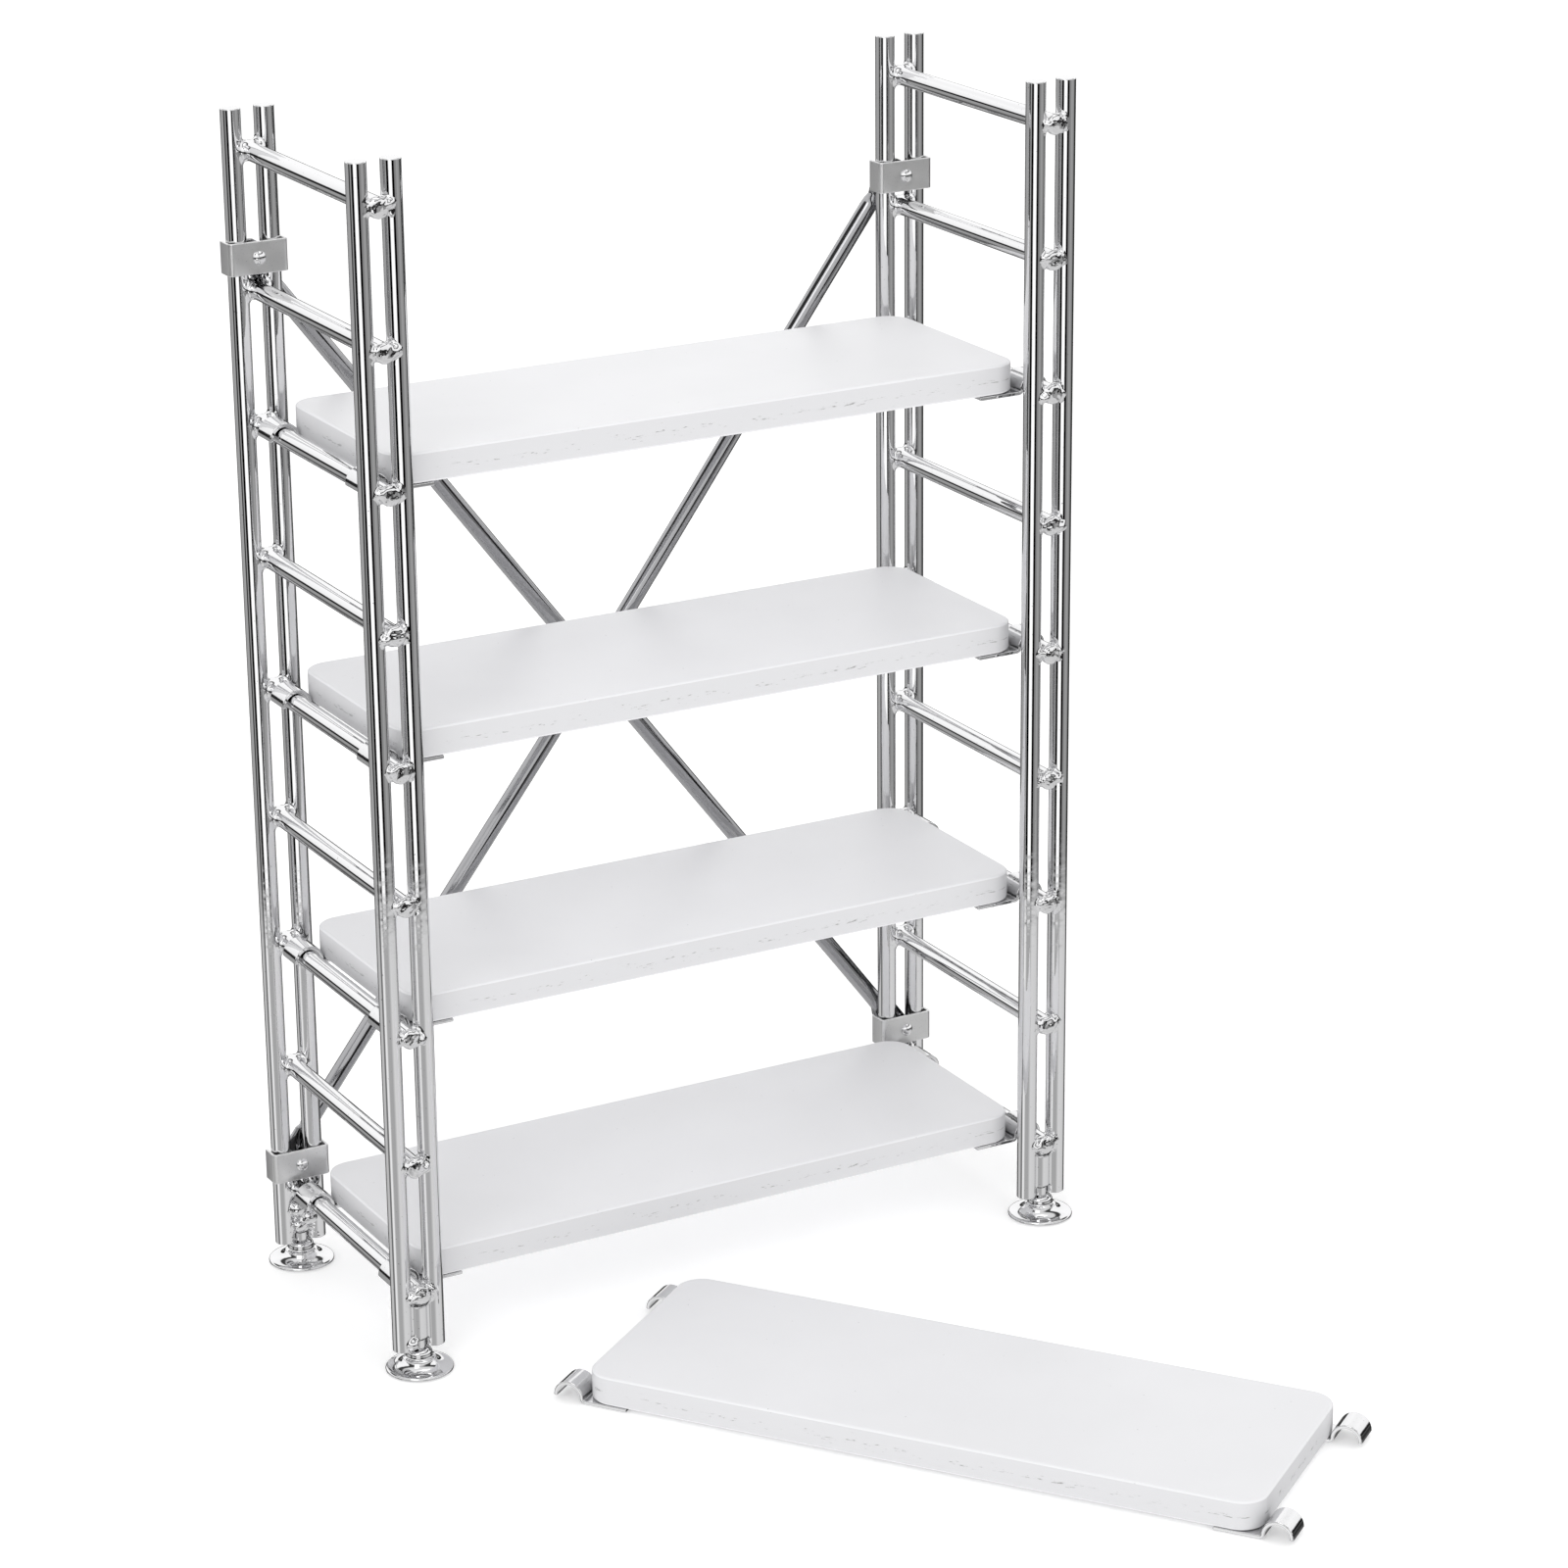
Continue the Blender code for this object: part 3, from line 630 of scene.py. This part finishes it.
def hookPath():  # the middle of a right-hand hook's strip in X and Z; the rung's axis is at x = 0
    look = {k: v * mm for k, v in shelfLook.items()}
    middle = (look["bore"] + look["strip"]) / 2
    archZ = look["rise"] + rungLook["radius"] + gap - look["bore"] / 2
    tongueZ = -gap - look["strip"] / 2
    bend = archZ - tongueZ
    points = [(middle, archZ - 0.1 * mm)]
    points += [(middle * math.cos(a), archZ + middle * math.sin(a)) for a in np.linspace(0, math.pi, 25)]
    points += [(-middle - bend * (1 - math.cos(a)), archZ - bend * math.sin(a))
               for a in np.linspace(0, math.pi / 2, 7)[1:]]
    points.append((-middle - look["strip"] / 2 - look["tongue"] + look["hookEase"], tongueZ))
    return points


hookRun = hookPath()
for name in ("shelf_1", "shelf_2", "shelf_3", "shelf_4", "loose_shelf"):
    low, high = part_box(f"{name}_board")
    turn = looseTurn if name == "loose_shelf" else 0.0
    place = Matrix.Translation(((low.x + high.x) / 2, (low.y + high.y) / 2, low.z))
    place = place @ Matrix.Rotation(turn, 4, "Z")
    addPiece(f"{name}_lacquered_board", boardMesh(), name, whiteLacquer,
             [f"{name}_board"], place)
    for side, direction in sides.items():
        for end, offsetY in ends.items():
            spot = Vector((direction * shelfLook["frameSpacing"] / 2 * mm,
                           offsetY * shelfLook["hookSpacing"] / 2 * mm, 0))
            rings = swept(hookRun, lambda u, v, w: spot + Vector((direction * u, direction * w, v)),
                          shelfLook["hookWidth"] * mm, shelfLook["strip"] * mm, shelfLook["hookEase"] * mm)
            addPiece(f"{name}_hook_strip_{side}_{end}", loft("hook", rings), name, platedStrip,
                     [f"{name}_hook_{side}_{end}"], place)
print("shelves made")

# Floor, lights and camera
floorMaterial, floorTree = newMaterial("pale_floor")
floorShader = addNode(floorTree, "ShaderNodeBsdfPrincipled", None, {
    "Base Color": linearOf("#FAFAFA"), "Roughness": 0.9, "Specular IOR Level": 0.0,
    "Emission Color": (1, 1, 1, 1), "Emission Strength": 0.22})
addNode(floorTree, "ShaderNodeOutputMaterial", None, {"Surface": floorShader.outputs[0]})
floorMesh = loft("floor", turned((0, 0, -0.01), zAxis, [(12.0, 0.0), (12.0, 0.0099)], 96))
floorMesh.materials.append(floorMaterial)
floor = bpy.data.objects.new("floor", floorMesh)
floor.visible_glossy = False
bpy.context.scene.collection.objects.link(floor)


studioLook = {  # what mirrors see, as brightness: steps round the compass, and steps from straight down to up
    "facing": -118.9, "horizon": 1.30, "zenith": 0.75,
    "room": [(-180, 0.10), (-139, 0.10), (-132, 0.40), (-80, 0.50), (-77, 0.05), (-61, 0.05), (-58, 0.48),
             (-48, 0.40), (-46, 0.0), (-24, 0.0), (-21, 1.25), (-6, 1.5), (9, 1.3), (13, 1.1), (15, 0.0),
             (36, 0.0), (39, 0.27), (62, 0.36), (66, 0.46), (104, 0.32), (108, 0.04), (146, 0.04),
             (152, 0.40), (172, 0.40)],
    "table": [(-180, 0.10), (-130, 0.12), (-120, 0.60), (-84, 0.72), (-78, 0.22), (-61, 0.20), (-55, 0.95),
              (-40, 1.15), (-30, 0.70), (-22, 0.50), (12, 0.50), (24, 0.66), (36, 0.86), (90, 0.82),
              (112, 0.74), (120, 0.14), (150, 0.10)],
    "height": [(-0.95, 0.9), (-0.6, 0.8), (-0.42, 0.42), (-0.15, 0.45), (-0.12, 0.02), (0.04, 0.02),
               (0.08, 1.15), (0.45, 1.3), (0.57, 1.2), (0.61, 0.05), (0.72, 0.08), (0.78, 0.9), (0.95, 1.0)],
}


def brightnessRamp(tree, factor, stops):
    node = addNode(tree, "ShaderNodeValToRGB", None, {0: factor})
    for at, value in stops:
        node.color_ramp.elements.new(at).color = (value, value, value, 1)
    node.color_ramp.elements.remove(node.color_ramp.elements[0])
    node.color_ramp.elements.remove(node.color_ramp.elements[-1])
    return node.outputs["Color"]


def studioWorld(look):  # white light, but mirrors see a pale table in a room with white and black cards
    world = bpy.data.worlds.new("studio")
    bpy.context.scene.world = world
    world.use_nodes = True
    tree = world.node_tree
    tree.nodes.clear()
    place = addNode(tree, "ShaderNodeTexCoord").outputs["Generated"]
    compass = addNode(tree, "ShaderNodeTexGradient", {"gradient_type": "RADIAL"}, {
        "Vector": place}).outputs["Fac"]
    up = addNode(tree, "ShaderNodeSeparateXYZ", None, {0: place}).outputs["Z"]
    rise = addNode(tree, "ShaderNodeMapRange", None, {"Value": up, "From Min": -1.0, "From Max": 1.0})
    layers = {}
    for name in ("room", "table"):
        stops = sorted((((look["facing"] + a + 180) % 360) / 360, value) for a, value in look[name])
        layers[name] = brightnessRamp(tree, compass, stops)
    stops = [((z + 1) / 2, value) for z, value in look["height"]]
    layers["height"] = brightnessRamp(tree, rise.outputs["Result"], stops)
    picture = layers["height"]
    for name, low, high in (("table", -0.62, -0.50), ("room", -0.362, -0.345), ("height", -0.17, -0.11)):
        share = addNode(tree, "ShaderNodeMapRange", {"interpolation_type": "SMOOTHSTEP"}, {
            "Value": up, "From Min": low, "From Max": high})
        picture = addNode(tree, "ShaderNodeMix", {"data_type": "RGBA"}, {
            0: share.outputs["Result"], 6: picture, 7: layers[name]}).outputs[2]
    seen = addNode(tree, "ShaderNodeLightPath")
    mirrored = addNode(tree, "ShaderNodeBackground", None, {"Color": picture, "Strength": 1.0})
    tent = addNode(tree, "ShaderNodeMapRange", None, {
        "Value": up, "From Min": 0.0, "From Max": 1.0, "To Min": look["horizon"], "To Max": look["zenith"]})
    plain = addNode(tree, "ShaderNodeBackground", None, {
        "Color": (1, 1, 1, 1), "Strength": tent.outputs["Result"]})
    both = addNode(tree, "ShaderNodeMixShader", None, {
        0: seen.outputs["Is Glossy Ray"], 1: plain.outputs[0], 2: mirrored.outputs[0]})
    addNode(tree, "ShaderNodeOutputWorld", None, {"Surface": both.outputs[0]})


studioWorld(studioLook)


def addLight(name, location, target, size, power):
    data = bpy.data.lights.new(name, "AREA")
    data.shape = "RECTANGLE"
    data.size, data.size_y = size
    data.energy = power
    light = bpy.data.objects.new(name, data)
    light.location = location
    light.rotation_mode = "QUATERNION"
    light.rotation_quaternion = (Vector(target) - Vector(location)).to_track_quat("-Z", "Y")
    bpy.context.scene.collection.objects.link(light)


addLight("key_softbox", (-1.6, -1.3, 2.2), (0, 0.1, 0.2), (1.2, 1.2), 9)
addLight("top_softbox", (0.2, 0.2, 2.4), (0, 0.1, 0.0), (1.6, 1.2), 4)

cameraLook = {"location": (-0.8175, -1.4391, 0.8235), "target": (0.0546, 0.1384, 0.1906), "lens": 106.9,
              "roll": -0.0098}
cameraData = bpy.data.cameras.new("camera")
cameraData.lens = cameraLook["lens"]
cameraData.sensor_width = 36
cameraData.clip_start, cameraData.clip_end = 0.05, 60
camera = bpy.data.objects.new("camera", cameraData)
camera.location = cameraLook["location"]
camera.rotation_mode = "QUATERNION"
aim = (Vector(cameraLook["target"]) - camera.location).to_track_quat("-Z", "Y")
camera.rotation_quaternion = aim @ Quaternion((0, 0, 1), cameraLook["roll"])
bpy.context.scene.collection.objects.link(camera)
bpy.context.scene.camera = camera
bpy.context.scene.view_settings.view_transform = "Standard"
print("floor, lights and camera made")

bpy.context.view_layer.update()
